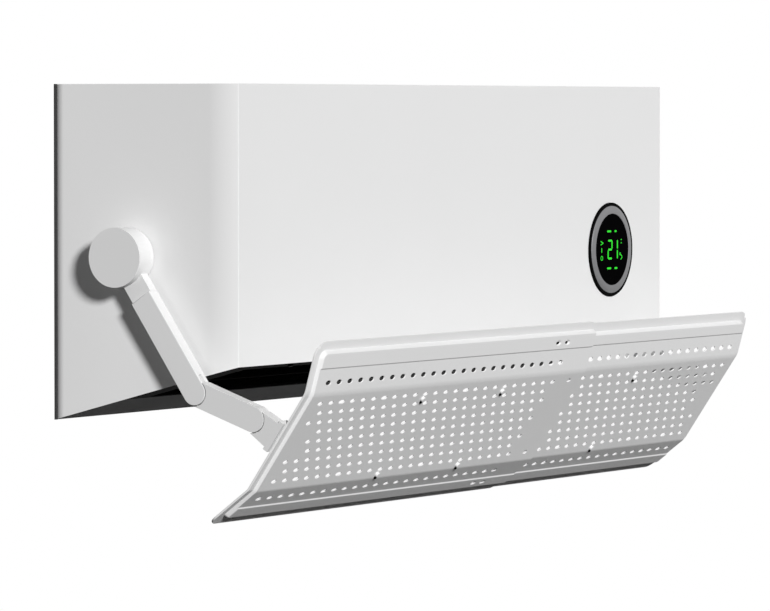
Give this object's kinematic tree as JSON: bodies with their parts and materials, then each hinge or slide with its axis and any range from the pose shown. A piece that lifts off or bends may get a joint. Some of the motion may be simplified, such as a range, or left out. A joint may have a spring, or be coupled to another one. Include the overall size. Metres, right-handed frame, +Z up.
{
  "type": "fan convector heater",
  "caption": "Wall-hung fan convector heater with a round temperature display and a perforated telescopic air deflector on two jointed side arms.",
  "frame": {"origin": "centre of the wall plate's four screw holes, in the plane of the wall", "axes": "+X to the right seen from the front, -Y out of the wall to the front, +Z up"},
  "size_m": [0.8854, 0.2832, 0.3866],
  "materials": {
    "white_shell": "fine satin moulded shell",
    "white_arm": "satin moulded",
    "white_panel": "satin moulded, perforated",
    "dark_grey_plastic": "fine grained",
    "black_plastic": "matt black",
    "fan_plastic": "moulded",
    "filter_mesh": "fine net in a frame",
    "zinc_steel": "zinc plated",
    "blackened_steel": "blackened screws",
    "bracket_steel": "heat resistant coat",
    "fin_aluminium": "bare strip",
    "motor_steel": "pressed can",
    "bearing_rubber": "moulded",
    "foam_tape": "adhesive foam",
    "ivory_plastic": "moulded",
    "green_board": "lacquered laminate",
    "black_parts": "moulded cases",
    "display_black": "polished",
    "display_silver": "satin bright ring",
    "display_glass": "opaque black glass",
    "digit_green": "glowing"
  },
  "bodies": {
    "heater": {"wall_plate": "zinc_steel", "rear_chassis": "dark_grey_plastic", "outlet_duct": "black_plastic", "casing": "white_shell", "top_grille": "white_shell", "air_filters": "filter_mesh", "heater_fins": "fin_aluminium", "heater_bars": "fin_aluminium", "heater_brackets": "bracket_steel", "thermal_cutout": "ivory_plastic", "fan_bearing": "bearing_rubber", "fan_motor": "motor_steel", "motor_clamp": "zinc_steel", "louvre_motor": "ivory_plastic", "control_box": "zinc_steel", "box_lid": "zinc_steel", "control_board": "green_board", "board_parts": "black_parts", "terminal_block": "ivory_plastic", "cable_gland": "black_plastic", "room_sensor": "ivory_plastic", "display_housing": "display_black", "display_ring": "display_silver", "display_lens": "display_glass", "display_digits": "digit_green", "display_board": "green_board", "case_screws": "blackened_steel", "adhesive_pads": "foam_tape", "arm_bases": "white_arm"},
    "fan": {"fan_wheel": "fan_plastic", "fan_shaft": "zinc_steel"},
    "louvre_blade": {"louvre": "black_plastic"},
    "left_arm": {"shoulder_disc_left": "white_arm", "upper_arm_left": "white_arm", "elbow_pin_left": "zinc_steel"},
    "left_forearm": {"forearm_left": "white_arm", "wrist_pin_left": "zinc_steel"},
    "deflector": {"clip_left": "white_arm", "panel_left": "white_panel"},
    "deflector_extension": {"panel_right": "white_panel"},
    "right_arm": {"shoulder_disc_right": "white_arm", "upper_arm_right": "white_arm", "elbow_pin_right": "zinc_steel"},
    "right_forearm": {"forearm_right": "white_arm", "wrist_pin_right": "zinc_steel"},
    "right_clip": {"clip_right": "white_arm"}
  },
  "joints": [
    {"name": "fan_spin", "type": "hinge", "parent": "heater", "child": "fan", "pos_m": [0, -0.092, -0.052], "axis": [1, 0, 0], "continuous": true},
    {"name": "louvre_tilt", "type": "hinge", "parent": "heater", "child": "louvre_blade", "pos_m": [0, -0.124, -0.124], "axis": [1, 0, 0], "range_deg": [-25, 25]},
    {"name": "left_shoulder", "type": "hinge", "parent": "heater", "child": "left_arm", "pos_m": [-0.4303, -0.0795, -0.0335], "axis": [1, 0, 0], "range_deg": [-40, 20]},
    {"name": "left_elbow", "type": "hinge", "parent": "left_arm", "child": "left_forearm", "pos_m": [-0.4303, -0.15816, -0.151], "axis": [1, 0, 0], "range_deg": [-8, 30]},
    {"name": "left_wrist", "type": "hinge", "parent": "left_forearm", "child": "deflector", "pos_m": [-0.4303, -0.21774, -0.17269], "axis": [1, 0, 0], "range_deg": [-25, 25]},
    {"name": "right_shoulder", "type": "hinge", "parent": "heater", "child": "right_arm", "pos_m": [0.4303, -0.0795, -0.0335], "axis": [1, 0, 0], "range_deg": [-40, 20]},
    {"name": "right_elbow", "type": "hinge", "parent": "right_arm", "child": "right_forearm", "pos_m": [0.4303, -0.15816, -0.151], "axis": [1, 0, 0], "range_deg": [-8, 30]},
    {"name": "right_wrist", "type": "hinge", "parent": "right_forearm", "child": "right_clip", "pos_m": [0.4303, -0.21774, -0.17269], "axis": [1, 0, 0], "range_deg": [-25, 25]},
    {"name": "deflector_stretch", "type": "slide", "parent": "deflector", "child": "deflector_extension", "axis": [1, 0, 0], "range_m": [0, 0.036]}
  ],
  "couplings": [
    {"joint": "right_shoulder", "follows": "left_shoulder", "ratio": 1},
    {"joint": "right_elbow", "follows": "left_elbow", "ratio": 1},
    {"joint": "right_wrist", "follows": "left_wrist", "ratio": 1}
  ]
}
